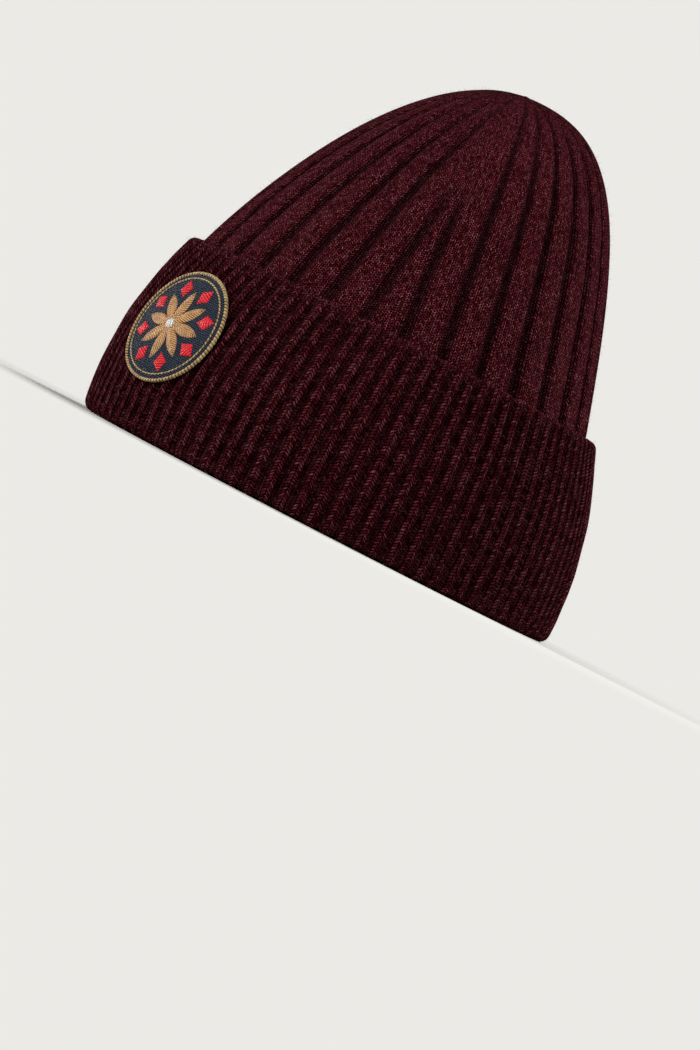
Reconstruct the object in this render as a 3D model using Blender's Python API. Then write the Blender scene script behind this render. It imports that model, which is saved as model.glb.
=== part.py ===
"""A knitted beanie with a turned-up cuff and a round sewn patch, standing on its rim.

Lengths are in metres. +Z is up, -Y is the front, where the patch is, and the origin is
in the middle under the hat. The knitted tube changes its rib at the fold, so the wide
ribbed crown and the fine ribbed cuff are two bodies.
"""

import math

import bmesh
import bpy
from mathutils import Vector

# The outside of the cuff, over its ridges: at the rim, halfway up and at its top edge
RIM_LENGTH = 0.2104
RIM_WIDTH = 0.1824
CUFF_MIDDLE_LENGTH = 0.2040
CUFF_MIDDLE_WIDTH = 0.1866
CUFF_TOP_LENGTH = 0.1724
CUFF_TOP_WIDTH = 0.1752
CUFF_HEIGHT = 0.0770
# The cuff's top edge sits this far ahead of the rim, as on a tilted head
CUFF_TOP_FORWARD = 0.0078

# The dome above the cuff narrows as (1 - h)^(1 / DOME_ROUNDNESS), at the height share h
HAT_HEIGHT = 0.1835
DOME_ROUNDNESS = 2.35
# The hat's top lies this far behind the middle of the cuff's top edge
TOP_BACK = 0.0126
TOP_BACK_CURVE = 1.7

# The knitting
CUFF_WALL = 0.0036
CROWN_WALL = 0.0030
LAYER_GAP = 0.0010
CLEARANCE = 0.0003
CROWN_RIB_PITCH = 0.0162
CROWN_RIB_DEPTH = 0.0016
CUFF_RIBS_PER_CROWN_RIB = 3
CUFF_RIB_DEPTH = 0.0015
# The share of the cuff's relief that is left where it turns round its edges
EDGE_RELIEF = 0.6
# How steeply the crown's grooves fade where the ribs run together at the top
GROOVE_FADE = 1.4

# The crown is shaped in panels, with a rib up the middle of each and one on each border.
# Its places are shares of the way out to the cuff from the point where the ribs meet.
CROWN_PANELS = 4
# That point lies ahead of the dome's middle by this share of the dome's half length
MEET_AHEAD = 0.13
MEET_CURVE = 1.5
# A panel's ribs grow wider by this share as they rise, and those on its borders give way
RIB_SPREAD = 0.25
# The two grooves beside a border are whole from here outwards, and end before the top
SHORT_GROOVE_WHOLE = 0.85
SHORT_GROOVE_END = 0.70
# The ribs at the sides have slid back by this angle
RIB_DRIFT = math.radians(1.1)

# The fold at the rim: the flat strip that the hat rests on, and the leg inside
REST_FLAT = 0.0020
FOLD_LEG_HEIGHT = 0.0100

# The patch, round before it is bent round the cuff
PATCH_RADIUS = 0.0235
PATCH_HEIGHT = 0.0425
PATCH_THICKNESS = 0.0012
BORDER_WIDTH = 0.0024
BORDER_THICKNESS = 0.0022
THREAD_THICKNESS = 0.0007
STAR_RADIUS = 0.0154
STAR_PETALS = 8
DIAMOND_LENGTH = 0.0080
DIAMOND_WIDTH = 0.0066
DIAMOND_PLACE = 0.0156
KNOT_RADIUS = 0.0022

# One rib of the crown: where each of its lines lies, and how deep
# (share of the rib's width, share of the groove's depth)
CROWN_RIB = ((0.00, 1.00), (0.15, 0.22), (0.50, 0.00), (0.85, 0.22))
# One rib of the cuff
CUFF_RIB = ((0.00, 1.00), (0.50, 0.00))
# A wall with no ribs
PLAIN = ((0.00, 0.00),)

# One petal of the star, from the valley before it to its tip
# (share of a petal's turn from the valley, share of the star's radius)
STAR_PETAL = ((0.00, 0.30), (0.27, 0.68), (0.50, 1.00), (0.73, 0.68))

# Rows of the mesh
CUFF_ROWS = (0.30, 0.52, 0.76)
CROWN_RIBS_START = 0.90
DOME_ROWS = 11
INNER_LINES_PER_CROWN_RIB = 2
PATCH_SIDES = 36
BORDER_SIDES = 6
KNOT_SIDES = 10
PLATE_RINGS = (0.35, 0.70, 1.00)

# Colours, linear, with the roughness of the thread
WOOL = ((0.150, 0.012, 0.030), 0.92)
CUFF_WOOL = ((0.130, 0.010, 0.026), 0.92)
NAVY = ((0.012, 0.022, 0.050), 0.60)
GOLD = ((0.560, 0.390, 0.160), 0.45)
RED = ((0.520, 0.012, 0.022), 0.50)
WHITE = ((0.780, 0.760, 0.700), 0.50)


def through(low, middle, high, share):
    """The parabola that is low at 0, middle at 0.5 and high at 1."""
    below = (1 - share) * (1 - 2 * share) * low
    above = share * (2 * share - 1) * high
    return below + 4 * share * (1 - share) * middle + above


def cuff_outline(z):
    """Half the width, half the length and the middle's y of the cuff's outside."""
    share = z / CUFF_HEIGHT
    half_width = through(RIM_WIDTH, CUFF_MIDDLE_WIDTH, CUFF_TOP_WIDTH, share) / 2
    half_length = through(RIM_LENGTH, CUFF_MIDDLE_LENGTH, CUFF_TOP_LENGTH, share) / 2
    return half_width, half_length, -CUFF_TOP_FORWARD * share


def cuff_point(angle, z, inset):
    """A point inside the cuff's outline. The angle goes from the front towards +X."""
    half_width, half_length, middle = cuff_outline(z)
    x = (half_width - inset) * math.sin(angle)
    y = middle - (half_length - inset) * math.cos(angle)
    return Vector((x, y, z))


def dome_surface(across, ahead):
    """A point of the dome's outside, over its ribs.

    Its place seen from above is in shares of the dome's half width and half length.
    """
    half_width, half_length, middle = cuff_outline(CUFF_HEIGHT)
    share = 1 - math.hypot(across, ahead) ** DOME_ROUNDNESS
    middle += TOP_BACK * max(0, share) ** TOP_BACK_CURVE
    x = (half_width - CUFF_WALL - LAYER_GAP) * across
    y = middle - (half_length - CUFF_WALL - LAYER_GAP) * ahead
    return Vector((x, y, CUFF_HEIGHT + share * (HAT_HEIGHT - CUFF_HEIGHT)))


def dome_point(angle, reach, depth):
    """A point under the dome's outside, square to it.

    Its reach is 1 at the cuff and 0 where the ribs meet.
    """
    across = reach * math.sin(angle)
    ahead = reach * math.cos(angle) + MEET_AHEAD * (1 - reach ** MEET_CURVE)
    step = 0.002
    side = dome_surface(across + step, ahead) - dome_surface(across - step, ahead)
    front = dome_surface(across, ahead + step) - dome_surface(across, ahead - step)
    return dome_surface(across, ahead) - front.cross(side).normalized() * depth


def crown_rib_count():
    """As many ribs as fit round the dome's foot, with the same number in each panel."""
    half_width, half_length, _ = cuff_outline(CUFF_HEIGHT)
    girth = math.pi * (half_width + half_length - 2 * (CUFF_WALL + LAYER_GAP))
    return CROWN_PANELS * round(girth / CROWN_PANELS / CROWN_RIB_PITCH)


def rib_lines(ribs, split, rib):
    """(angle, share of depth) of the lines round a wall, from beside the front.

    Each of the crown's ribs is split into so many, and one of them is at the front.
    """
    turn = 2 * math.pi / (ribs * split)
    start = -math.pi / ribs
    return [
        (start + (i + place) * turn, depth)
        for i in range(ribs * split)
        for place, depth in rib
    ]


def crown_lines(ribs, reach):
    """(angle, share of depth) of each line of the crown's ribs, at a reach."""
    turn = 2 * math.pi / CROWN_PANELS
    border = 1 - 2 * CROWN_PANELS / ribs
    spread = 1 + RIB_SPREAD * (1 - reach)
    whole = (reach - SHORT_GROOVE_END) / (SHORT_GROOVE_WHOLE - SHORT_GROOVE_END)
    lines = []
    for angle, cut in rib_lines(ribs, 1, CROWN_RIB):
        panel = round(angle / turn)
        aside = 2 * (angle / turn - panel)
        if abs(aside) > border:
            left = (1 - abs(aside)) * (1 - border * spread) / (1 - border)
            aside = math.copysign(1 - left, aside)
            cut *= max(0, min(1, whole))
        else:
            aside *= spread
        angle = turn * (panel + aside / 2)
        lines.append((angle + RIB_DRIFT * math.sin(angle), cut))
    return lines


def cuff_ring(bm, lines, z, inset, relief=0.0):
    """A ring of vertices in the cuff, whose grooves have the share relief of their depth."""
    depth = CUFF_RIB_DEPTH * relief
    return [bm.verts.new(cuff_point(a, z, inset + depth * share)) for a, share in lines]


def dome_ring(bm, lines, reach, depth=0.0):
    """A ring of vertices at a depth under the dome, and deeper by its lines' grooves."""
    groove = CROWN_RIB_DEPTH * min(1, GROOVE_FADE * reach)
    return [bm.verts.new(dome_point(a, reach, depth + groove * cut)) for a, cut in lines]


def join_rings(bm, ring, other):
    """Joins two rings with triangles. One has as many points as the other, or n times."""
    if len(ring) < len(other):
        ring, other = other, ring
    step = len(ring) // len(other)
    for i, corner in enumerate(other):
        start = i * step - step // 2
        for k in range(start, start + step):
            bm.faces.new((ring[k % len(ring)], ring[(k + 1) % len(ring)], corner))
        after = other[(i + 1) % len(other)]
        bm.faces.new((ring[(start + step) % len(ring)], after, corner))


def close_ring(bm, ring, tip):
    """Closes a ring with triangles to one point."""
    for i, corner in enumerate(ring):
        bm.faces.new((corner, ring[(i + 1) % len(ring)], tip))


def material(name, finish):
    colour, roughness = finish
    made = bpy.data.materials.new(name)
    made.use_nodes = True
    shader = made.node_tree.nodes["Principled BSDF"]
    shader.inputs["Base Color"].default_value = (*colour, 1)
    shader.inputs["Roughness"].default_value = roughness
    shader.inputs["Metallic"].default_value = 0
    made.diffuse_color = (*colour, 1)
    return made


def finish_object(name, bm, finish):
    """Makes the mesh an object, facing out and shaded smooth, with its own material."""
    bmesh.ops.recalc_face_normals(bm, faces=bm.faces)
    mesh = bpy.data.meshes.new(name)
    bm.to_mesh(mesh)
    bm.free()
    mesh.shade_smooth()
    mesh.set_sharp_from_angle(angle=math.radians(50))
    mesh.materials.append(material(name, finish))
    made = bpy.data.objects.new(name, mesh)
    bpy.context.scene.collection.objects.link(made)
    return made


def build_crown(ribs):
    """The hollow cap: a plain band behind the cuff, then the dome with its wide ribs."""
    bm = bmesh.new()
    plain = rib_lines(ribs, INNER_LINES_PER_CROWN_RIB, PLAIN)
    inside = rib_lines(ribs, 1, PLAIN)
    outer_inset = CUFF_WALL + LAYER_GAP
    band = [FOLD_LEG_HEIGHT + CLEARANCE] + [CUFF_HEIGHT * share for share in CUFF_ROWS]
    rise = [math.sin(math.pi / 2 * i / DOME_ROWS) for i in range(DOME_ROWS)]
    dome = [(1 - share) ** (1 / DOME_ROUNDNESS) for share in rise]

    rings = [dome_ring(bm, inside, reach, CROWN_WALL) for reach in reversed(dome)]
    close_ring(bm, rings[0], bm.verts.new(dome_point(0, 0, CROWN_WALL)))
    for z in reversed(band):
        rings.append(cuff_ring(bm, inside, z, outer_inset + CROWN_WALL))
    for z in band:
        rings.append(cuff_ring(bm, plain, z, outer_inset))
    foot = CUFF_HEIGHT * CROWN_RIBS_START
    rings.append(cuff_ring(bm, crown_lines(ribs, 1), foot, outer_inset))
    rings += [dome_ring(bm, crown_lines(ribs, reach), reach) for reach in dome[:-1]]
    rings.append(dome_ring(bm, inside, dome[-1]))
    for ring, other in zip(rings, rings[1:]):
        join_rings(bm, ring, other)
    close_ring(bm, rings[-1], bm.verts.new(dome_point(0, 0, 0)))
    return finish_object("crown", bm, WOOL)


def build_cuff(ribs):
    """The turned-up band: ribbed outside, round at its top edge and at the fold."""
    bm = bmesh.new()
    ribbed = rib_lines(ribs, CUFF_RIBS_PER_CROWN_RIB, CUFF_RIB)
    plain = rib_lines(ribs, INNER_LINES_PER_CROWN_RIB, PLAIN)
    slot = CUFF_WALL + LAYER_GAP
    fold = slot + CROWN_WALL
    fold_radius = fold / 2
    fold_reach = fold_radius - REST_FLAT / 2
    edge_radius = CUFF_WALL / 2
    corner = 1 - math.cos(math.radians(45))
    edge_start = CUFF_HEIGHT - edge_radius * corner
    rows = [CUFF_HEIGHT * share for share in CUFF_ROWS]

    rings = [
        cuff_ring(bm, ribbed, 0, fold_reach),
        cuff_ring(bm, ribbed, fold_radius * corner, fold_reach * corner, EDGE_RELIEF),
        cuff_ring(bm, ribbed, fold_radius, 0, 1),
    ]
    rings += [cuff_ring(bm, ribbed, z, 0, 1) for z in rows]
    rings += [
        cuff_ring(bm, ribbed, CUFF_HEIGHT - edge_radius, 0, 1),
        cuff_ring(bm, ribbed, edge_start, edge_radius * corner, EDGE_RELIEF),
        cuff_ring(bm, plain, CUFF_HEIGHT, edge_radius),
        cuff_ring(bm, plain, CUFF_HEIGHT - edge_radius, CUFF_WALL),
    ]
    rings += [cuff_ring(bm, plain, z, CUFF_WALL) for z in reversed(rows)]
    rings += [
        cuff_ring(bm, plain, FOLD_LEG_HEIGHT, CUFF_WALL),
        cuff_ring(bm, plain, CUFF_WALL, CUFF_WALL),
        cuff_ring(bm, plain, CUFF_WALL, slot),
        cuff_ring(bm, plain, FOLD_LEG_HEIGHT, slot),
        cuff_ring(bm, plain, FOLD_LEG_HEIGHT, fold),
        cuff_ring(bm, plain, fold_radius, fold),
        cuff_ring(bm, plain, fold_radius * corner, fold - fold_reach * corner),
        cuff_ring(bm, plain, 0, fold - fold_reach),
    ]
    for ring, other in zip(rings, rings[1:] + rings[:1]):
        join_rings(bm, ring, other)
    return finish_object("cuff", bm, CUFF_WOOL)


def patch_point(across, up, lift):
    """A point over the cuff's ridges, from its place on the patch laid out flat."""
    lean = math.atan2(
        cuff_point(0, PATCH_HEIGHT + PATCH_RADIUS, 0).y
        - cuff_point(0, PATCH_HEIGHT - PATCH_RADIUS, 0).y,
        2 * PATCH_RADIUS,
    )
    z = PATCH_HEIGHT + up * math.cos(lean)
    angle = across / cuff_outline(z)[0]
    step = 0.001
    rise = cuff_point(angle, z + step, 0) - cuff_point(angle, z - step, 0)
    side = cuff_point(angle + step, z, 0) - cuff_point(angle - step, z, 0)
    return cuff_point(angle, z, 0) + side.cross(rise).normalized() * (CLEARANCE + lift)


def circle(radius, sides):
    turns = [2 * math.pi * i / sides for i in range(sides)]
    return [(radius * math.sin(turn), radius * math.cos(turn)) for turn in turns]


def build_plate(name, outline, lift, thickness, finish, middle=(0, 0), rings=PLATE_RINGS):
    """A thin plate of the outline's shape, bent over the cuff."""
    bm = bmesh.new()
    faces = []
    for height in (lift, lift + thickness):
        tip = bm.verts.new(patch_point(*middle, height))
        made = []
        for share in rings:
            points = []
            for across, up in outline:
                across = middle[0] + share * (across - middle[0])
                up = middle[1] + share * (up - middle[1])
                points.append(bm.verts.new(patch_point(across, up, height)))
            made.append(points)
        close_ring(bm, made[0], tip)
        for ring, other in zip(made, made[1:]):
            join_rings(bm, ring, other)
        faces.append(made[-1])
    join_rings(bm, *faces)
    return finish_object(name, bm, finish)


def build_border():
    """The overlock cord round the patch's edge."""
    bm = bmesh.new()
    middle = PATCH_RADIUS - BORDER_WIDTH / 2
    rings = []
    for i in range(BORDER_SIDES):
        turn = 2 * math.pi * (i + 0.5) / BORDER_SIDES
        radius = middle + BORDER_WIDTH / 2 * math.cos(turn)
        lift = BORDER_THICKNESS / 2 * (1 + math.sin(turn))
        points = circle(radius, PATCH_SIDES)
        rings.append([bm.verts.new(patch_point(*point, lift)) for point in points])
    for ring, other in zip(rings, rings[1:] + rings[:1]):
        join_rings(bm, ring, other)
    return finish_object("patch_border", bm, GOLD)


def star_outline():
    """The star's petals, with a petal straight up."""
    points = []
    for petal in range(STAR_PETALS):
        for turn, reach in STAR_PETAL:
            angle = 2 * math.pi * (petal + turn - 0.5) / STAR_PETALS
            radius = STAR_RADIUS * reach
            points.append((radius * math.sin(angle), radius * math.cos(angle)))
    return points


def build_diamond(number, lift):
    """A lozenge in the valley after the star's petal of the same number."""
    angle = 2 * math.pi * (number - 0.5) / STAR_PETALS
    sine, cosine = math.sin(angle), math.cos(angle)
    outline = []
    for along, aside in ((0.5, 0), (0, 0.5), (-0.5, 0), (0, -0.5)):
        reach = DIAMOND_PLACE + along * DIAMOND_LENGTH
        side = aside * DIAMOND_WIDTH
        outline.append((reach * sine + side * cosine, reach * cosine - side * sine))
    middle = (DIAMOND_PLACE * sine, DIAMOND_PLACE * cosine)
    name = f"patch_diamond_{number:02d}"
    return build_plate(name, outline, lift, THREAD_THICKNESS, RED, middle, (1.00,))


def build_patch():
    """The navy round, its cord border and the raised threads on it."""
    base_radius = PATCH_RADIUS - BORDER_WIDTH - CLEARANCE
    on_base = PATCH_THICKNESS + CLEARANCE
    on_star = on_base + THREAD_THICKNESS + CLEARANCE
    round_base = circle(base_radius, PATCH_SIDES)
    knot = circle(KNOT_RADIUS, KNOT_SIDES)
    made = [
        build_plate("patch_base", round_base, 0, PATCH_THICKNESS, NAVY),
        build_border(),
        build_plate("patch_star", star_outline(), on_base, THREAD_THICKNESS, GOLD),
        build_plate("patch_knot", knot, on_star, THREAD_THICKNESS, WHITE, rings=(1.00,)),
    ]
    for number in range(1, STAR_PETALS + 1):
        made.append(build_diamond(number, on_base))
    return made


def stand_on_origin(pieces):
    """Moves every piece's vertices, so that the middle under the whole hat is the origin."""
    corners = [vertex.co for piece in pieces for vertex in piece.data.vertices]
    lowest = Vector(min(corner[axis] for corner in corners) for axis in range(3))
    highest = Vector(max(corner[axis] for corner in corners) for axis in range(3))
    middle = (lowest + highest) / 2
    for piece in pieces:
        for vertex in piece.data.vertices:
            vertex.co -= Vector((middle.x, middle.y, lowest.z))


def main():
    for old in list(bpy.data.objects):
        bpy.data.objects.remove(old)
    ribs = crown_rib_count()
    stand_on_origin([build_crown(ribs), build_cuff(ribs), *build_patch()])


main()
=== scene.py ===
"""The looks of a knitted beanie: ribbed crown, turned-up cuff and an embroidered patch.

Lengths are in metres. +Z is up and -Y is the front, where the patch is. The knitting is
modelled as long panels, wrapped round the hat and sewn up to closed rings.
"""

import math

import bpy
import numpy as np
from mathutils import Matrix, Vector


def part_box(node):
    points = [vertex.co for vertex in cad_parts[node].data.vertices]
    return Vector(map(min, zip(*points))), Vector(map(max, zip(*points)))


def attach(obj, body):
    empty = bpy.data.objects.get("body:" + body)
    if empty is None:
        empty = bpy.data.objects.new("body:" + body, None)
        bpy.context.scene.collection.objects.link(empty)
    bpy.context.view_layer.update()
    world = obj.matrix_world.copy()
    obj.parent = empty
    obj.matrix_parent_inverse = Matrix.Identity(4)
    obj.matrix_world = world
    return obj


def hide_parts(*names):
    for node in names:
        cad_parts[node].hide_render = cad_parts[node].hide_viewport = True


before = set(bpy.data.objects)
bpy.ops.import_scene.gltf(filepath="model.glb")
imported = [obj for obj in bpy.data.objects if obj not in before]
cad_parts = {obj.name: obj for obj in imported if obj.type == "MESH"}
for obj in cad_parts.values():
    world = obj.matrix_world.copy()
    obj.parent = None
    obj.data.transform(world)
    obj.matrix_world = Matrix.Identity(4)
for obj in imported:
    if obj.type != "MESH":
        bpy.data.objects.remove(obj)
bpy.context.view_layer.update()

# The hat's outline over its ridges: the cuff at three heights, and the dome
RIM_LENGTH = 0.2104
RIM_WIDTH = 0.1824
CUFF_MIDDLE_LENGTH = 0.2040
CUFF_MIDDLE_WIDTH = 0.1866
CUFF_TOP_LENGTH = 0.1724
CUFF_TOP_WIDTH = 0.1752
CUFF_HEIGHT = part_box("cuff")[1].z
CUFF_TOP_FORWARD = 0.0078
HAT_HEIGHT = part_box("crown")[1].z
DOME_ROUNDNESS = 2.35
TOP_BACK = 0.0126
TOP_BACK_CURVE = 1.7

# The layers of knitting
CUFF_WALL = 0.0036
CROWN_WALL = 0.0030
LAYER_GAP = 0.0010
CLEARANCE = 0.0003
REST_FLAT = 0.0020
FOLD_LEG_HEIGHT = 0.0100
FOLD = CUFF_WALL + LAYER_GAP + CROWN_WALL

# Ribs and stitches
CROWN_PANELS = 4
RIBS_PER_PANEL = 8
CROWN_RIBS = CROWN_PANELS * RIBS_PER_PANEL
CUFF_RIBS = 3 * CROWN_RIBS
CROWN_GROOVE = 0.0023
CUFF_GROOVE = 0.0020
COURSE = 0.00125
CROWN_COLUMNS_PER_RIB = 16
CUFF_COLUMNS_PER_RIB = 8

# The crown's grooves: a broad basin with steep sides, which fades near the top
GROOVE_BASIN = 0.22
GROOVE_SIDE_START = 0.58
GROOVE_SIDE_END = 0.92
GROOVE_FADE = 1.4

# The cuff's grooves, which are flatter near the rim and near the top edge
CUFF_GROOVE_CURVE = 1.05
RIM_FLATTER_BELOW = 0.008
RIM_RELIEF = 0.45
TOP_FLATTER_WITHIN = 0.006
TOP_RELIEF = 0.30
NEAR_FLOOR = 0.001

# The unevenness of the knitting: a swell in metres, a sway in radians, and uneven depths
CROWN_SWELL = 0.0004
CROWN_SWAY = 0.015
CROWN_DEPTH_SPREAD = 0.16
CUFF_SWELL = 0.0002
CUFF_SWAY = 0.0022
CUFF_DEPTH_SPREAD = 0.14
RANDOM_RIBS = 128

# The crown's ribs meet ahead of the dome's middle, and spread inside each panel
MEET_AHEAD = 0.13
MEET_CURVE = 1.5
RIB_SPREAD = 0.25
SHORT_GROOVE_WHOLE = 0.82
SHORT_GROOVE_END = 0.58
RIB_DRIFT = math.radians(1.1)

# Loose fibres that stand off the wool
FIBRES = 14000
FIBRE_STEPS = 3
FIBRE_LENGTH = 0.0012
FIBRE_SHORTEST = 0.4
FIBRE_LONGEST = 1.3
FIBRE_WIDTH = 0.00005
FIBRE_REACH = 0.0019
FIBRE_TAPER = 0.6
FIBRE_ROOT = 0.0001
FIBRE_OUTWARD = 0.7
FIBRE_SCATTER = 0.75
FIBRE_CURL = 0.8

# The patch
PATCH_RADIUS = 0.0235
PATCH_HEIGHT = 0.0425
PATCH_THICKNESS = 0.0012
BORDER_WIDTH = 0.0014
BORDER_THICKNESS = 0.0018
BORDER_STITCHES = 104
RING_RADIUS = 0.0204
RING_WIDTH = 0.0007
RING_STITCHES = 80
CORD_STEPS_PER_STITCH = 8
CORD_SIDES = 12
CORD_WAIST = 0.82
CORD_WAIST_CURVE = 0.6
STAR_RADIUS = 0.0154
STAR_PETALS = 8
STAR_VALLEY = 0.30
STAR_PETAL_CURVE = 0.75
STAR_THREAD_SLANT = 0.9
LOZENGE_LENGTH = 0.0080
LOZENGE_WIDTH = 0.0066
LOZENGE_PLACE = 0.0156
KNOT_RADIUS = 0.0022
KNOT_THREAD_SLANT = 0.4
RAISED = 0.0009
LOZENGE_RAISED = 0.7 * RAISED
KNOT_SEAT = 0.8 * RAISED
GROUND_RAISED = 0.0001
PADDING_CURVE = 3
BACKING_SHARE = 0.6
SATIN_PITCH = 0.00100
FILL_PITCH = 0.00080
FILL_LENGTH = 6 * FILL_PITCH

# The camera: the photograph's turn, lean, distance and scale, but above the floor
AZIMUTH = math.radians(49.42)
ELEVATION = math.radians(0.6)
ROLL = math.radians(27.36)
DISTANCE = 1.80
PIXELS_PER_METRE = 2607
PICTURE_WIDTH = 700
PICTURE_HEIGHT = 1050
RIM_PIXEL = (315.6, 526.4)
SENSOR = 36.0

# The stage: paper near the hat, which runs into the backdrop's colour away from it
FLOOR_RADIUS = 12
PAPER_END = 0.09
GLOW_START = 0.27
AMBIENT = 0.30

# The stitches' relief in metres, and how fine the cloudy patterns are in waves per metre
WOOL_RELIEF = 0.0010
THREAD_RELIEF = 0.00050
BUMP_STEP = 0.1
WOOL_GRAIN = 2200.0
YARN_TWIST = 900.0
WOOL_PATCHES = 330.0
THREAD_GRAIN = 2600.0

# Colours, linear
BACKDROP = (0.831, 0.823, 0.791)
PAPER = (0.500, 0.495, 0.476)
WINE_DEEP = (0.0070, 0.0002, 0.0006)
WINE = (0.0340, 0.0014, 0.0032)
CRIMSON = (0.0800, 0.0090, 0.0140)
SCARLET = (0.1320, 0.0300, 0.0400)
PLUM = (0.0340, 0.0044, 0.0058)
MAUVE = (0.0720, 0.0180, 0.0220)
ROSE = (0.1500, 0.0580, 0.0680)
# The threads' _DARK colours are the painted shade between threads, and their darkest random
# tone
NAVY = (0.0070, 0.0150, 0.0300)
NAVY_DARK = (0.0015, 0.0025, 0.0060)
GOLD = (0.430, 0.230, 0.095)
GOLD_DARK = (0.060, 0.024, 0.008)
CREAM = (0.330, 0.225, 0.100)
CREAM_DARK = (0.045, 0.026, 0.010)
RED = (0.560, 0.010, 0.018)
RED_DARK = (0.190, 0.003, 0.006)
WHITE = (0.560, 0.540, 0.490)
WHITE_DARK = (0.240, 0.230, 0.210)
FIBRE = (0.130, 0.022, 0.030)
NAP = (1.0, 0.40, 0.46)

# The two hues of the yarn, from its darkest fibres to its lightest
RED_YARN = ((0.05, WINE_DEEP), (0.35, WINE), (0.65, CRIMSON), (1.0, SCARLET))
GREY_YARN = ((0.05, WINE_DEEP), (0.35, PLUM), (0.65, MAUVE), (1.0, ROSE))


# Outline of the hat

def through(low, middle, high, share):
    """The parabola that is low at 0, middle at 0.5 and high at 1."""
    below = (1 - share) * (1 - 2 * share) * low
    above = share * (2 * share - 1) * high
    return below + 4 * share * (1 - share) * middle + above


def cuff_outline(z):
    """Half the width, half the length and the middle's y of the cuff, before placing."""
    share = z / CUFF_HEIGHT
    half_width = through(RIM_WIDTH, CUFF_MIDDLE_WIDTH, CUFF_TOP_WIDTH, share) / 2
    half_length = through(RIM_LENGTH, CUFF_MIDDLE_LENGTH, CUFF_TOP_LENGTH, share) / 2
    return half_width, half_length, -CUFF_TOP_FORWARD * share


def rim_middle():
    """How far the rim's middle lies behind the origin, read from the frame's cuff."""
    _, half_length, middle = cuff_outline(FOLD / 2)
    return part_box("cuff")[1].y - half_length - middle


RIM_MIDDLE = rim_middle()


def cuff_point(angle, z, inset):
    """Points inside the cuff's outline. The angle goes from the front towards +X."""
    half_width, half_length, middle = cuff_outline(z)
    x = (half_width - inset) * np.sin(angle)
    y = RIM_MIDDLE + middle - (half_length - inset) * np.cos(angle)
    return np.stack(np.broadcast_arrays(x, y, z), axis=-1)


def crown_reach(level):
    """How far out the crown's rings lie: 1 at the cuff's top, 0 where the ribs meet."""
    share = np.sin(np.pi / 2 * np.clip(level, 0, 1))
    return np.maximum(1 - share, 0) ** (1 / DOME_ROUNDNESS)


def dome_surface(across, ahead):
    """The dome's outside, by its place from above in shares of half width and length."""
    half_width, half_length, middle = cuff_outline(CUFF_HEIGHT)
    share = 1 - np.hypot(across, ahead) ** DOME_ROUNDNESS
    x = (half_width - CUFF_WALL - LAYER_GAP) * across
    y = RIM_MIDDLE + middle - (half_length - CUFF_WALL - LAYER_GAP) * ahead
    y = y + TOP_BACK * np.maximum(share, 0) ** TOP_BACK_CURVE
    return np.stack((x, y, CUFF_HEIGHT + share * (HAT_HEIGHT - CUFF_HEIGHT)), axis=-1)


def crown_point(angle, level, depth):
    """Points under the crown: level -1 at its hidden edge, 0 at the cuff's top, 1 on top."""
    reach = crown_reach(level)
    across = reach * np.sin(angle)
    ahead = reach * np.cos(angle) + MEET_AHEAD * (1 - reach ** MEET_CURVE)
    step = 0.003
    side = dome_surface(across + step, ahead) - dome_surface(across - step, ahead)
    front = dome_surface(across, ahead + step) - dome_surface(across, ahead - step)
    normal = np.cross(front, side)
    normal = normal / np.linalg.norm(normal, axis=-1, keepdims=True)
    dome = dome_surface(across, ahead) - normal * depth[..., None]
    low = np.minimum(level, 0) * (CUFF_HEIGHT - FOLD_LEG_HEIGHT - CLEARANCE)
    behind = cuff_point(angle, CUFF_HEIGHT + low, CUFF_WALL + LAYER_GAP + depth)
    return np.where((level < 0)[..., None], behind, dome)


def wandering(angle, along, seed, waves):
    """A soft unevenness between -1 and 1, the same at both ends of a turn."""
    chance = np.random.default_rng(seed)
    total = 0
    for wave in waves:
        total = total + np.sin(
            wave * angle + chance.uniform(0, 2 * np.pi) + chance.uniform(-4, 4) * along
        )
    return total / len(waves)


def each_rib(rib, seed, spread):
    """One steady random number around 1 for each rib."""
    chance = np.random.default_rng(seed)
    numbers = 1 + spread * chance.uniform(-1, 1, RANDOM_RIBS)
    return numbers[np.floor(rib).astype(int) % RANDOM_RIBS]


# Knitted panels

def deselect():
    bpy.ops.object.select_all(action="DESELECT")


def select_only(piece):
    deselect()
    piece.select_set(True)
    bpy.context.view_layer.objects.active = piece


def named(name):
    """Names the primitive that was just added."""
    piece = bpy.context.object
    piece.name = name
    piece.data.name = name
    return piece


def edit(piece, *steps):
    """Runs operators on the whole of a piece in edit mode."""
    select_only(piece)
    bpy.ops.object.mode_set(mode="EDIT")
    bpy.ops.mesh.select_all(action="SELECT")
    for step in steps:
        step()
    bpy.ops.object.mode_set(mode="OBJECT")


def places(piece):
    """The piece's vertices as an array."""
    flat = np.empty(len(piece.data.vertices) * 3)
    piece.data.vertices.foreach_get("co", flat)
    return flat.reshape(-1, 3)


def of_faces(piece, measure, width):
    """A measure of each of the piece's faces as an array."""
    flat = np.empty(len(piece.data.polygons) * width)
    piece.data.polygons.foreach_get(measure, flat)
    return flat.reshape(-1, width)


def move_to(piece, points):
    piece.data.vertices.foreach_set("co", np.ascontiguousarray(points).ravel())
    piece.data.update()


def flat_panel(name, columns, rows):
    """A flat panel, with the column and the row of each of its vertices."""
    deselect()
    bpy.ops.mesh.primitive_grid_add(x_subdivisions=columns, y_subdivisions=rows, size=2)
    panel = named(name)
    flat = places(panel)
    column = np.round((flat[:, 0] + 1) / 2 * columns).astype(int)
    row = np.round((flat[:, 1] + 1) / 2 * rows).astype(int)
    return panel, column, row


def corners_of(piece):
    """The vertex of each corner of the piece's faces."""
    corners = np.empty(len(piece.data.loops), dtype=int)
    piece.data.loops.foreach_get("vertex_index", corners)
    return corners


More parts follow.
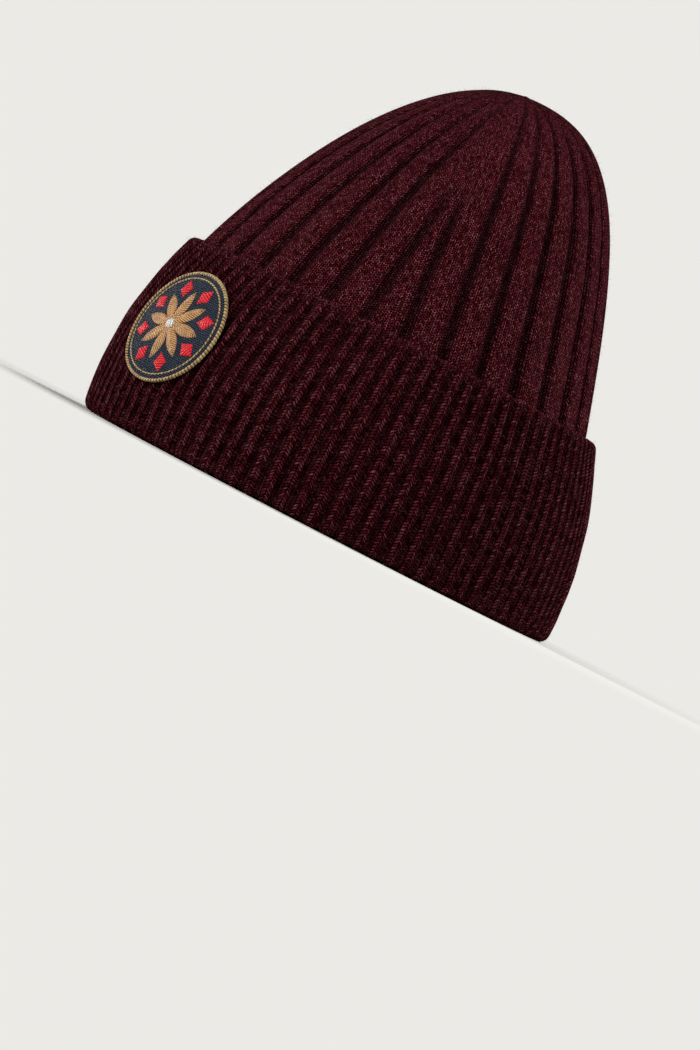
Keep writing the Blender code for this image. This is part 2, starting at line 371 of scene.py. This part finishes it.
def add_map(piece, name, across, along):
    """Gives the piece a UV map of its own from two numbers at each corner."""
    layer = piece.data.uv_layers.new(name=name)
    layer.data.foreach_set("uv", np.stack((across, along), axis=-1).ravel())


def lay_out(piece, name, across, along):
    """Gives the piece a UV map of its own from two numbers at each vertex."""
    across, along = np.broadcast_arrays(across, along)
    corners = corners_of(piece)
    add_map(piece, name, across[corners], along[corners])


def drop_first_map(piece):
    """Removes the UV map that came with the primitive."""
    piece.data.uv_layers.remove(piece.data.uv_layers[0])


def sew_up(panel):
    """Closes the wrapped panel along its edges and turns its faces outwards."""
    edit(
        panel,
        lambda: bpy.ops.mesh.remove_doubles(threshold=1e-6),
        lambda: bpy.ops.mesh.delete_loose(),
        lambda: bpy.ops.mesh.select_all(action="SELECT"),
        lambda: bpy.ops.mesh.normals_make_consistent(inside=False),
    )
    panel.data.shade_smooth()


def smooth(low, high, value):
    """0 below low and 1 above high, softly between."""
    share = np.clip((value - low) / (high - low), 0, 1)
    return share * share * (3 - 2 * share)


def crown_groove(rib):
    """The share of the groove's depth over one rib, 1 in the groove and 0 on top."""
    side = np.abs(2 * (rib % 1) - 1)
    steep = smooth(GROOVE_SIDE_START, GROOVE_SIDE_END, side)
    return GROOVE_BASIN * side ** 2 + (1 - GROOVE_BASIN) * steep


def ribs_of_panel(place, panel, reach):
    """The rib at a place, and how many ribs it lies beside the middle of its panel.

    The place is counted in panels from the front. Inside a panel the ribs grow wider as
    they rise, so those at its borders run out.
    """
    aside = (place - panel) * RIBS_PER_PANEL / (1 + RIB_SPREAD * (1 - reach))
    return panel * RIBS_PER_PANEL + aside + 0.5, aside


def crown_rows():
    """(level, depth) of the crown's rows: up its outside, down its inside and back."""
    hidden = np.linspace(-1, -0.30, 8)
    near_top_edge = np.linspace(-0.28, 0, 12)
    dome = np.linspace(0, 1, 106)[1:]
    outside = np.concatenate((hidden, near_top_edge, dome))
    inside = np.concatenate((np.linspace(1, 0, 24), np.linspace(-0.15, -1, 8)))
    level = np.concatenate((outside, inside, outside[:1]))
    depth = np.concatenate((0 * outside, 0 * inside + CROWN_WALL, [0]))
    return level, depth


def knit_crown():
    """The cap, knitted from its hidden edge to the top and down again inside."""
    level_of, depth_of = crown_rows()
    columns = CROWN_RIBS * CROWN_COLUMNS_PER_RIB
    panel, column, row = flat_panel("crown_knit", columns, len(level_of) - 1)

    level = level_of[row]
    reach = crown_reach(level)
    place = CROWN_PANELS * column / columns - 0.5
    rib, aside = ribs_of_panel(place, np.round(place), reach)
    short = np.abs(aside) > RIBS_PER_PANEL / 2 - 1
    whole = np.where(short, smooth(SHORT_GROOVE_END, SHORT_GROOVE_WHOLE, reach), 1)
    relief = crown_groove(rib) * whole * np.minimum(1, GROOVE_FADE * reach)
    angle = 2 * np.pi * (column % columns) / columns - np.pi / CROWN_PANELS
    swell = CROWN_SWELL * wandering(angle, 2 * level, seed=5, waves=(2, 3, 5, 9, 14))
    groove = CROWN_GROOVE * relief * each_rib(rib + 0.5, 3, CROWN_DEPTH_SPREAD)
    depth = np.where(depth_of[row] == 0, groove + swell * (level > 0), depth_of[row])
    sway = CROWN_SWAY * wandering(angle, 4 * level, seed=7, waves=(3, 5, 8, 13))
    sway = sway * np.clip(level, 0, 0.5)
    section = crown_point(np.full(len(level_of), np.pi / 2), level_of, depth_of)
    length = np.linalg.norm(np.diff(section, axis=0), axis=1)
    course = np.concatenate(([0], np.cumsum(length)))[row] / COURSE

    lay_out_crown(panel, place, reach, course)
    lay_out(panel, "relief", relief, 0)
    drop_first_map(panel)
    angle = angle + RIB_DRIFT * np.sin(angle)
    move_to(panel, crown_point(angle + sway, level, depth))
    sew_up(panel)
    return panel


def lay_out_crown(piece, place, reach, course):
    """Gives the crown its knit map, where each face counts ribs in the panel it is in."""
    corners = corners_of(piece)
    place_of = place[corners].reshape(-1, 4)
    panel = np.round(place_of.mean(axis=1, keepdims=True))
    rib, _ = ribs_of_panel(place_of, panel, reach[corners].reshape(-1, 4))
    add_map(piece, "knit", rib.ravel(), course[corners])


def arc(middle, radii, start, end, count):
    """(inset, height) along a stretch of an ellipse, from start to end in degrees."""
    turn = np.radians(np.linspace(start, end, count))
    return [
        (middle[0] - radii[0] * math.sin(t), middle[1] - radii[1] * math.cos(t)) for t in turn
    ]


def run(start, end, count):
    """Points between two (inset, height) places, without the first."""
    return [
        tuple(np.array(start) + (np.array(end) - np.array(start)) * i / count)
        for i in range(1, count + 1)
    ]


def cuff_section():
    """(inset, height) round the cuff's section, and the share of the ribs' depth there."""
    reach = FOLD / 2 - REST_FLAT / 2
    edge = CUFF_WALL / 2
    slot = CUFF_WALL + LAYER_GAP
    leg = CROWN_WALL / 2
    points = arc((reach, FOLD / 2), (reach, FOLD / 2), 0, 90, 8)
    points += run((0, FOLD / 2), (0, CUFF_HEIGHT - edge), 54)
    points += arc((edge, CUFF_HEIGHT - edge), (edge, edge), 90, 270, 9)[1:]
    points += run((CUFF_WALL, CUFF_HEIGHT - edge), (CUFF_WALL, CUFF_WALL), 12)
    points += run((CUFF_WALL, CUFF_WALL), (slot, CUFF_WALL), 1)
    points += run((slot, CUFF_WALL), (slot, FOLD_LEG_HEIGHT), 2)
    points += run((slot, FOLD_LEG_HEIGHT), (FOLD, FOLD_LEG_HEIGHT), 2)
    points += run((FOLD, FOLD_LEG_HEIGHT), (FOLD, FOLD / 2), 3)
    points += arc((FOLD - reach, FOLD / 2), (-reach, FOLD / 2), 90, 0, 6)[1:]
    section = np.array(points)
    height = section[:, 1]
    low = np.clip(height / RIM_FLATTER_BELOW, 0, 1)
    high = np.clip((CUFF_HEIGHT - height) / TOP_FLATTER_WITHIN, 0, 1)
    relief = (RIM_RELIEF + (1 - RIM_RELIEF) * low) * (TOP_RELIEF + (1 - TOP_RELIEF) * high)
    hidden = section[:, 0] > CUFF_WALL - edge / 4
    return section, np.where(hidden & (height > NEAR_FLOOR), 0, relief)


def knit_cuff():
    """The turned-up band, knitted round its whole section, fold and inner leg included."""
    section, relief_of = cuff_section()
    rows = len(section)
    columns = CUFF_RIBS * CUFF_COLUMNS_PER_RIB
    panel, column, row = flat_panel("cuff_knit", columns, rows)
    step = np.roll(section, -1, axis=0) - section
    length = np.linalg.norm(step, axis=1)
    along = step + np.roll(step, 1, axis=0)
    along = along / np.linalg.norm(along, axis=1, keepdims=True)

    angle = 2 * np.pi * (column % columns - CUFF_COLUMNS_PER_RIB / 2) / columns
    rib = column / CUFF_COLUMNS_PER_RIB
    ring = row % rows
    inset, height = section[ring].T
    relief = relief_of[ring]
    groove = 1 - np.abs(np.sin(np.pi * rib)) ** CUFF_GROOVE_CURVE
    depth = CUFF_GROOVE * relief * groove * each_rib(rib + 0.5, 11, CUFF_DEPTH_SPREAD)
    swell = 1 + wandering(angle, 90 * height, seed=13, waves=(7, 19, 37))
    depth = depth + relief * CUFF_SWELL * swell
    inset = inset + depth * along[ring, 1]
    height = height - depth * along[ring, 0]
    sway = wandering(angle, 45 * height, seed=17, waves=(11, 23, 41))
    sway = CUFF_SWAY * relief * sway
    course = np.concatenate(([0], np.cumsum(length)))[row] / COURSE

    lay_out(panel, "knit", rib, course)
    lay_out(panel, "relief", relief * groove, 0)
    drop_first_map(panel)
    move_to(panel, cuff_point(angle + sway, height, inset))
    sew_up(panel)
    return panel


def fuzz(name, knit, lowest, seed):
    """Short curved fibres, rooted all over the outside of a knitted piece."""
    deselect()
    bpy.ops.mesh.primitive_grid_add(x_subdivisions=FIBRE_STEPS, y_subdivisions=1, size=2)
    fibres = named(name)
    flat = places(fibres)
    rows = fibres.modifiers.new("rows", "ARRAY")
    rows.count = FIBRES
    bpy.ops.object.modifier_apply(modifier=rows.name)

    chance = np.random.default_rng(seed)
    roots, outward = roots_on(knit, lowest, chance)
    lean = outward * FIBRE_OUTWARD + chance.normal(0, FIBRE_SCATTER, (FIBRES, 3))
    bend = chance.normal(0, FIBRE_CURL, (FIBRES, 3))
    length = FIBRE_LENGTH * chance.uniform(FIBRE_SHORTEST, FIBRE_LONGEST, (FIBRES, 1))
    tip = np.linalg.norm(lean + bend, axis=1, keepdims=True)
    length = np.minimum(length, FIBRE_REACH / tip)
    beside = np.cross(lean, chance.normal(0, 1, (FIBRES, 3)))
    beside = beside / np.linalg.norm(beside, axis=1, keepdims=True)
    along = ((flat[:, 0] + 1) / 2)[None, :, None]
    side = (flat[:, 1] / 2)[None, :, None] * (1 - FIBRE_TAPER * along)
    middle = roots[:, None] + length[:, None] * (
        along * lean[:, None] + along ** 2 * bend[:, None]
    )
    points = middle + side * FIBRE_WIDTH * beside[:, None]
    points[:, :, 2] = np.maximum(points[:, :, 2], 0)
    drop_first_map(fibres)
    move_to(fibres, points.reshape(-1, 3))
    return fibres


def roots_on(knit, lowest, chance):
    """Random places on the outside of a knitted piece, with their normals."""
    centre = of_faces(knit, "center", 3)
    normal = of_faces(knit, "normal", 3)
    area = of_faces(knit, "area", 1).ravel()
    faces_out = np.sum(normal * (centre - (0, 0, CUFF_HEIGHT / 2)), axis=1) > 0
    weight = area * (faces_out & (centre[:, 2] > lowest))
    chosen = chance.choice(len(area), FIBRES, p=weight / weight.sum())
    return centre[chosen] - FIBRE_ROOT * normal[chosen], normal[chosen]


# The patch

def patch_point(across, up, lift):
    """Places over the cuff's ridges, from the patch laid out flat."""
    z = PATCH_HEIGHT + up * math.cos(patch_lean())
    angle = across / cuff_outline(z)[0]
    step = 0.001
    rise = cuff_point(angle, z + step, 0) - cuff_point(angle, z - step, 0)
    side = cuff_point(angle + step, z, 0) - cuff_point(angle - step, z, 0)
    normal = np.cross(side, rise)
    normal = normal / np.linalg.norm(normal, axis=-1, keepdims=True)
    return cuff_point(angle, z, 0) + normal * (CLEARANCE + lift)[..., None]


def patch_lean():
    """How far the cuff leans back where the patch is, in radians."""
    low = cuff_point(0, PATCH_HEIGHT - PATCH_RADIUS, 0)
    high = cuff_point(0, PATCH_HEIGHT + PATCH_RADIUS, 0)
    return math.atan2(high[1] - low[1], 2 * PATCH_RADIUS)


def flat_round(name, sides, rings):
    """A flat disc drawn out in rings from a circle, its radius 1."""
    deselect()
    bpy.ops.mesh.primitive_circle_add(vertices=sides, radius=1, fill_type="NOTHING")
    disc = named(name)
    bpy.ops.object.mode_set(mode="EDIT")
    bpy.ops.mesh.select_all(action="SELECT")
    for ring in range(rings, 1, -1):
        share = (ring - 1) / ring
        bpy.ops.mesh.extrude_edges_move()
        bpy.ops.transform.resize(value=(share, share, 1))
    bpy.ops.mesh.extrude_edges_move()
    bpy.ops.mesh.merge(type="CENTER")
    bpy.ops.object.mode_set(mode="OBJECT")
    return disc


def give_wall(piece, thickness):
    """Makes a sheet a closed plate, its front where the sheet was."""
    select_only(piece)
    wall = piece.modifiers.new("wall", "SOLIDIFY")
    wall.thickness = thickness
    wall.offset = -1
    bpy.ops.object.modifier_apply(modifier=wall.name)


def embroider(name, outline, middle, lift, raised, thread_of, sides, rings):
    """Stitches over padding: a plate that fills an outline and rises to its middle.

    outline gives its radius at a turn, middle its place on the patch, lift the height of its
    edge, raised how far it rises and thread_of the place of its threads.
    """
    disc = flat_round(name, sides, rings)
    flat = places(disc)
    turn = np.arctan2(flat[:, 0], flat[:, 1])
    share = np.linalg.norm(flat[:, :2], axis=1)
    reach = outline(turn)
    across = middle[0] + share * reach * np.sin(turn)
    up = middle[1] + share * reach * np.cos(turn)
    dome = raised * (1 - share ** PADDING_CURVE)
    lay_out(disc, "thread", *thread_of(across, up))
    move_to(disc, patch_point(across, up, lift + dome))
    edit(disc, lambda: bpy.ops.mesh.normals_make_consistent(inside=False))
    face_front(disc)
    give_wall(disc, lift * BACKING_SHARE)
    disc.data.shade_smooth()
    return disc


def face_front(piece):
    """Turns a sheet's faces to the front, -Y."""
    if of_faces(piece, "normal", 3)[:, 1].mean() > 0:
        edit(piece, lambda: bpy.ops.mesh.flip_normals())


def star_reach(turn):
    """The star's radius: eight petals with rounded sides, one straight up."""
    side = np.abs(((turn / (2 * np.pi) * STAR_PETALS + 0.5) % 1) - 0.5) * 2
    petal = np.clip(1 - side, 0, 1)
    return STAR_RADIUS * (STAR_VALLEY + (1 - STAR_VALLEY) * petal ** STAR_PETAL_CURVE)


def lozenge_reach(turn, lean):
    """The radius of a lozenge whose long way lies at the angle lean."""
    along = np.abs(np.cos(turn - lean)) / (LOZENGE_LENGTH / 2)
    aside = np.abs(np.sin(turn - lean)) / (LOZENGE_WIDTH / 2)
    return 1 / (along + aside)


def sew_ground():
    """The patch's cloth, covered with rows of fill stitches."""
    radius = PATCH_RADIUS - BORDER_WIDTH / 2
    return embroider(
        "patch_ground",
        lambda turn: 0 * turn + radius,
        (0, 0),
        PATCH_THICKNESS,
        GROUND_RAISED,
        lambda across, up: (across / FILL_LENGTH, up / FILL_PITCH),
        sides=96,
        rings=14,
    )


def sew_star():
    """The star, its threads slanting out from the middle line of each petal."""

    def thread(across, up):
        turn = np.arctan2(across, up)
        petal = (turn / (2 * np.pi) * STAR_PETALS + 0.5) % 1 - 0.5
        reach = np.hypot(across, up)
        aside = np.abs(petal) * 2 * np.pi / STAR_PETALS * reach
        return petal + 0.5, (reach - STAR_THREAD_SLANT * aside) / SATIN_PITCH

    return embroider(
        "star_thread",
        star_reach,
        (0, 0),
        PATCH_THICKNESS,
        RAISED,
        thread,
        sides=192,
        rings=12,
    )


def sew_lozenge(number):
    """One lozenge between two petals, its threads lying across its length."""
    lean = 2 * math.pi * (number - 0.5) / STAR_PETALS
    middle = (LOZENGE_PLACE * math.sin(lean), LOZENGE_PLACE * math.cos(lean))

    def thread(across, up):
        along = (across - middle[0]) * math.sin(lean) + (up - middle[1]) * math.cos(lean)
        return 0 * along, along / SATIN_PITCH

    return embroider(
        f"lozenge_thread_{number:02d}",
        lambda turn: lozenge_reach(turn, lean),
        middle,
        PATCH_THICKNESS,
        LOZENGE_RAISED,
        thread,
        sides=32,
        rings=5,
    )


def sew_knot():
    """The small round knot over the star's middle."""

    def thread(across, up):
        return 0 * across, (across + KNOT_THREAD_SLANT * up) / SATIN_PITCH

    return embroider(
        "knot_thread",
        lambda turn: 0 * turn + KNOT_RADIUS,
        (0, 0),
        PATCH_THICKNESS + KNOT_SEAT,
        RAISED,
        thread,
        sides=32,
        rings=6,
    )


def sew_cord(name, radius, width, thickness, low, stitches):
    """A ring of thread lapped by slanting stitches, lying on the patch."""
    deselect()
    bpy.ops.mesh.primitive_torus_add(
        major_segments=stitches * CORD_STEPS_PER_STITCH,
        minor_segments=CORD_SIDES,
        major_radius=1,
        minor_radius=0.1,
    )
    cord = named(name)
    flat = places(cord)
    turn = np.arctan2(flat[:, 0], flat[:, 1])
    out = np.hypot(flat[:, 0], flat[:, 1]) - 1
    around = np.arctan2(flat[:, 2], out)
    stitch = turn / (2 * np.pi) * stitches + around / (2 * np.pi)
    bulge = np.abs(np.sin(np.pi * stitch)) ** CORD_WAIST_CURVE
    swell = CORD_WAIST + (1 - CORD_WAIST) * bulge
    reach = radius + width / 2 * swell * np.cos(around)
    lift = low + thickness / 2 * (1 + swell * np.sin(around))
    lay_out(cord, "thread", around / (2 * np.pi), stitch)
    drop_first_map(cord)
    move_to(cord, patch_point(reach * np.sin(turn), reach * np.cos(turn), lift))
    edit(cord, lambda: bpy.ops.mesh.normals_make_consistent(inside=False))
    cord.data.shade_smooth()
    return cord


def sew_border():
    """The gold cord that laps the patch's edge."""
    middle = PATCH_RADIUS - BORDER_WIDTH / 2
    return sew_cord(
        "border_cord", middle, BORDER_WIDTH, BORDER_THICKNESS, 0, BORDER_STITCHES
    )


def sew_ring():
    """The thin gold line inside the border."""
    low = PATCH_THICKNESS - RING_WIDTH / 2
    return sew_cord("ring_cord", RING_RADIUS, RING_WIDTH, RING_WIDTH, low, RING_STITCHES)


# Finishes

class Value:
    """The output of a shader node, so that maths on it reads as plain Python."""

    def __init__(self, finish, socket):
        self.finish = finish
        self.socket = socket

    def maths(self, operation, *terms):
        return self.finish.node("ShaderNodeMath", {"operation": operation}, *terms)

    def __add__(self, other):
        return self.maths("ADD", self, other)

    def __radd__(self, other):
        return self.maths("ADD", other, self)

    def __sub__(self, other):
        return self.maths("SUBTRACT", self, other)

    def __rsub__(self, other):
        return self.maths("SUBTRACT", other, self)

    def __mul__(self, other):
        return self.maths("MULTIPLY", self, other)

    def __rmul__(self, other):
        return self.maths("MULTIPLY", other, self)

    def __pow__(self, other):
        return self.maths("POWER", self, other)

    def __abs__(self):
        return self.maths("ABSOLUTE", self)

    def floor(self):
        return self.maths("FLOOR", self)

    def part(self):
        """What is left over the whole number below."""
        return self.maths("FRACT", self)

    def between(self, low, high):
        """0 below low and 1 above high, softly between."""
        settings = {"interpolation_type": "SMOOTHSTEP"}
        return self.finish.node(
            "ShaderNodeMapRange", settings, self, low, high, 0.0, 1.0
        )


class Finish:
    """A material being mixed, with its nodes."""

    def __init__(self, name):
        self.material = bpy.data.materials.new(name)
        self.material.use_nodes = True
        self.tree = self.material.node_tree
        self.shader = self.tree.nodes["Principled BSDF"]

    def node(self, kind, settings, *inputs, output=0):
        """Adds a node: its settings first, then the values or links of its sockets."""
        made = self.tree.nodes.new(kind)
        for name, setting in settings.items():
            if name == "stops":
                self.set_stops(made.color_ramp, setting)
            else:
                setattr(made, name, setting)
        shown = [socket for socket in made.inputs if socket.enabled]
        for socket, value in zip(shown, inputs):
            self.feed(socket, value)
        outputs = [socket for socket in made.outputs if socket.enabled]
        return Value(self, outputs[output])

    def set_stops(self, ramp, stops):
        while len(ramp.elements) < len(stops):
            ramp.elements.new(1)
        for element, (place, colour) in zip(ramp.elements, stops):
            element.position = place
            element.color = (*colour, 1)

    def feed(self, socket, value):
        if isinstance(value, Value):
            self.tree.links.new(value.socket, socket)
        else:
            is_colour = socket.type == "RGBA" and len(value) == 3
            socket.default_value = (*value, 1) if is_colour else value

    def map(self, name):
        """The two numbers of the piece's own UV map."""
        place = self.node("ShaderNodeUVMap", {"uv_map": name})
        return [
            self.node("ShaderNodeSeparateXYZ", {}, place, output=axis) for axis in (0, 1)
        ]

    def place(self):
        """Where the point is on the object."""
        return self.node("ShaderNodeTexCoord", {}, output=3)

    def vector(self, x, y, z=0.0):
        return self.node("ShaderNodeCombineXYZ", {}, x, y, z)

    def chance(self, x, y):
        """One random number for each pair of whole numbers."""
        settings = {"noise_dimensions": "2D"}
        return self.node("ShaderNodeTexWhiteNoise", settings, self.vector(x, y))

    def cloudy(self, where, scale, detail=2.0, roughness=0.6):
        """A soft random pattern around 0.5."""
        settings = {"noise_dimensions": "3D"}
        return self.node("ShaderNodeTexNoise", settings, where, scale, detail, roughness)

    def ramp(self, value, stops):
        return self.node("ShaderNodeValToRGB", {"stops": stops}, value)

    def shade(self, colour, value):
        """The colour, lighter or darker by that value."""
        grey = self.vector(value, value, value)
        return self.blend(1.0, colour, grey, "MULTIPLY")

    def blend(self, share, one, other, how="MIX"):
        settings = {"data_type": "RGBA", "blend_type": how}
        return self.node("ShaderNodeMix", settings, share, one, other)

    def emboss(self, height, depth):
        """Gives the surface a relief, depth metres deep where height goes from 0 to 1."""
        bump = self.node("ShaderNodeBump", {}, 1.0, depth, BUMP_STEP, height)
        self.feed(self.shader.inputs["Normal"], bump)

    def paint(self, **sockets):
        """Sets the shader's sockets, named with an underscore for each space."""
        for name, value in sockets.items():
            self.feed(self.shader.inputs[name.replace("_", " ")], value)
        return self.material


def hump(value):
    """0 at whole numbers and 1 halfway between."""
    side = 2 * value.part() - 1
    return 1 - side * side


def wool_finish(name, wales, faced, slant, gain, gap_shade, groove_shade):
    """Ribbed knitting: V stitches on each ridge and purl bumps in the grooves.

    A rib is wales stitches wide, of which faced show their face, centred on its ridge.
    slant is how many rows the legs of a V lean over. gain lightens the yarn, most on the
    stitches' tops as painted light, gap_shade paints shade into the gaps between stitches,
    and groove_shade paints shade into the grooves.
    """
    wool = Finish(name)
    rib, course = wool.map("knit")
    deep, _ = wool.map("relief")
    where = wool.place()
    fibres = wool.cloudy(where, WOOL_GRAIN)
    patches = wool.cloudy(where, WOOL_PATCHES)

    # The stitches' relief
    wale = (rib.part() - 0.5) * wales + faced / 2
    aside = abs(2 * wale.part() - 1)
    lean = course - slant * aside + 0.9 * (patches - 0.5)
    leg = hump(lean) ** 1.2 * (1 - (2 * aside - 1) ** 4)
    half = 2 * wale
    staggered = course + (half.floor() * 0.5).part()
    purl = hump(staggered) * (0.3 + 0.7 * hump(half))
    deep = deep + 0.25 * (hump(staggered) - 0.5) + 0.5 * (patches - 0.5)
    in_groove = deep.between(0.45, 0.70)
    stitch = leg + in_groove * (1.1 * purl - leg)

    # The yarn's colour: two hues twisted together, each stitch and fibre a tone of them
    each = wool.chance(half.floor() + 2 * wales * rib.floor(), lean.floor() + 0.5)
    tone = 0.50 * each + 1.8 * (fibres - 0.5) + 0.30 * (patches - 0.5) + 0.20
    twist = wool.cloudy(where, YARN_TWIST, detail=1.0, roughness=0.5)
    red = wool.ramp(tone, RED_YARN)
    grey = wool.ramp(tone, GREY_YARN)
    yarn = wool.blend(twist.between(0.42, 0.58), red, grey)
    # Painted light and shade: the stitches' tops lit, painted shade in the gaps between
    # stitches and down in the grooves
    light = (0.02 + gain * stitch ** gap_shade) * (1 - groove_shade * deep.between(0.0, 0.78))

    wool.emboss(stitch + 0.35 * fibres, WOOL_RELIEF)
    return wool.paint(
        Base_Color=wool.shade(yarn, light),
        Roughness=0.95,
        Specular_IOR_Level=0.0,
        Sheen_Weight=0.018,
        Sheen_Roughness=0.40,
        Sheen_Tint=NAP,
    )


def thread_finish(name, colour, dark):
    """Satin stitches: threads side by side, with painted shade between them."""
    thread = Finish(name)
    _, number = thread.map("thread")
    ridge = hump(number)
    each = thread.chance(number.floor(), 3.0)
    fibres = thread.cloudy(thread.place(), THREAD_GRAIN)
    # Each thread lighter along its middle with painted shade between threads, plus a random
    # tone for each thread and its fibres
    tone = 0.80 * ridge + 0.60 * each + 0.9 * (fibres - 0.5)
    tint = thread.blend(tone.between(0.10, 1.15), dark, colour)
    thread.emboss(ridge + 0.2 * fibres, THREAD_RELIEF)
    return thread.paint(Base_Color=tint, Roughness=0.50, Specular_IOR_Level=0.25)


def fibre_finish():
    """One even colour, as the fibres are finer than any pattern on them."""
    fibre = Finish("loose fibres")
    return fibre.paint(Base_Color=FIBRE, Roughness=0.9, Specular_IOR_Level=0.05)


def give_finish(piece, material):
    piece.data.materials.clear()
    piece.data.materials.append(material)


# Stage, lights and camera

def view_axes():
    """The picture's right and up, and the way from the hat to the camera."""
    right = Vector((math.cos(AZIMUTH), math.sin(AZIMUTH), 0))
    back = Vector(
        (
            math.sin(AZIMUTH) * math.cos(ELEVATION),
            -math.cos(AZIMUTH) * math.cos(ELEVATION),
            math.sin(ELEVATION),
        )
    )
    up = back.cross(right)
    rolled_right = right * math.cos(ROLL) + up * math.sin(ROLL)
    rolled_up = up * math.cos(ROLL) - right * math.sin(ROLL)
    return rolled_right, rolled_up, back


def set_camera():
    """Places the camera so that the rim's middle lies at its pixel in the picture."""
    right, up, back = view_axes()
    data = bpy.data.cameras.new("camera")
    data.sensor_width = SENSOR
    data.lens = PIXELS_PER_METRE * DISTANCE / PICTURE_HEIGHT * SENSOR
    data.clip_start = 0.05
    data.clip_end = 40
    camera = bpy.data.objects.new("camera", data)
    bpy.context.scene.collection.objects.link(camera)
    aside = (PICTURE_WIDTH / 2 - RIM_PIXEL[0]) / PIXELS_PER_METRE
    above = (RIM_PIXEL[1] - PICTURE_HEIGHT / 2) / PIXELS_PER_METRE
    rim = Vector((0, RIM_MIDDLE, 0))
    place = rim + right * aside + up * above + back * DISTANCE
    turned = Matrix((right, up, back)).transposed().to_4x4()
    camera.matrix_world = Matrix.Translation(place) @ turned
    bpy.context.scene.camera = camera


def add_lamp(name, toward, distance, size, power):
    """A soft round lamp that points at the hat.

    toward is the way to it in the picture's right, up and back.
    """
    right, up, back = view_axes()
    data = bpy.data.lights.new(name, "AREA")
    data.shape = "DISK"
    data.size = size
    data.energy = power
    lamp = bpy.data.objects.new(name, data)
    bpy.context.scene.collection.objects.link(lamp)
    way = (right * toward[0] + up * toward[1] + back * toward[2]).normalized()
    middle = Vector((0, 0, HAT_HEIGHT / 2))
    lamp.location = middle + way * distance
    lamp.rotation_mode = "QUATERNION"
    lamp.rotation_quaternion = way.to_track_quat("Z", "Y")


def set_lights():
    """Four lamps, each with the way to it, its distance, its size and its power."""
    add_lamp("key", (-0.9, 0.95, 0.75), 3.2, 1.3, 125)
    add_lamp("fill", (1.1, 0.25, 0.8), 3.2, 1.8, 75)
    add_lamp("left edge", (-1.0, 0.35, -0.7), 3.0, 1.4, 90)
    add_lamp("right edge", (0.9, 0.6, -0.5), 3.0, 1.4, 100)


def set_world():
    """An even backdrop, which lights the hat less than it shows."""
    world = bpy.data.worlds.new("studio")
    bpy.context.scene.world = world
    world.use_nodes = True
    tree = world.node_tree
    background = tree.nodes["Background"]
    background.inputs["Color"].default_value = (*BACKDROP, 1)
    path = tree.nodes.new("ShaderNodeLightPath")
    strength = tree.nodes.new("ShaderNodeMapRange")
    strength.inputs["To Min"].default_value = AMBIENT
    strength.inputs["To Max"].default_value = 1.0
    tree.links.new(path.outputs["Is Camera Ray"], strength.inputs["Value"])
    tree.links.new(strength.outputs["Result"], background.inputs["Strength"])


def floor_finish():
    """Pale paper that runs into the backdrop's colour away from the hat."""
    paper = Finish("paper")
    far = paper.node("ShaderNodeVectorMath", {"operation": "LENGTH"}, paper.place())
    plain = Value(paper, paper.shader.outputs["BSDF"])
    glow = paper.node("ShaderNodeEmission", {}, BACKDROP, 1.0)
    share = far.between(PAPER_END, GLOW_START)
    mix = paper.node("ShaderNodeMixShader", {}, share, plain, glow)
    paper.feed(paper.tree.nodes["Material Output"].inputs["Surface"], mix)
    return paper.paint(Base_Color=PAPER, Roughness=0.9, Specular_IOR_Level=0.1)


def lay_floor():
    """The round sheet of paper that the hat stands on, which isn't part of it."""
    deselect()
    bpy.ops.mesh.primitive_circle_add(vertices=96, radius=FLOOR_RADIUS, fill_type="NGON")
    floor = named("floor")
    give_finish(floor, floor_finish())


def main():
    set_camera()
    set_world()
    set_lights()
    lay_floor()
    bpy.context.scene.view_settings.view_transform = "Standard"

    crown_wool = wool_finish(
        "crown wool", wales=8, faced=6, slant=1.1, gain=2.95, gap_shade=2.4, groove_shade=0.76
    )
    cuff_wool = wool_finish(
        "cuff wool", wales=1.8, faced=1, slant=-1.1, gain=1.56, gap_shade=1.2, groove_shade=0.72
    )
    fibre = fibre_finish()
    navy = thread_finish("navy thread", NAVY, NAVY_DARK)
    gold = thread_finish("gold thread", GOLD, GOLD_DARK)
    cream = thread_finish("cream thread", CREAM, CREAM_DARK)
    red = thread_finish("red thread", RED, RED_DARK)
    white = thread_finish("white thread", WHITE, WHITE_DARK)

    crown = knit_crown()
    cuff = knit_cuff()
    pieces = [
        (crown, crown_wool, "crown_wool", "crown"),
        (cuff, cuff_wool, "cuff_wool", "cuff"),
        (fuzz("crown_fuzz", crown, CUFF_HEIGHT, seed=21), fibre, "crown_wool", None),
        (fuzz("cuff_fuzz", cuff, NEAR_FLOOR, seed=22), fibre, "cuff_wool", None),
        (sew_ring(), cream, "gold_thread", None),
        (sew_ground(), navy, "patch_cloth", "patch_base"),
        (sew_border(), cream, "gold_thread", "patch_border"),
        (sew_star(), gold, "gold_thread", "patch_star"),
        (sew_knot(), white, "white_thread", "patch_knot"),
    ]
    for number in range(1, STAR_PETALS + 1):
        node = f"patch_diamond_{number:02d}"
        pieces.append((sew_lozenge(number), red, "red_thread", node))
    for piece, material, slot, node in pieces:
        give_finish(piece, material)
        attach(piece, "root")
        if node:
            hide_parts(node)


main()
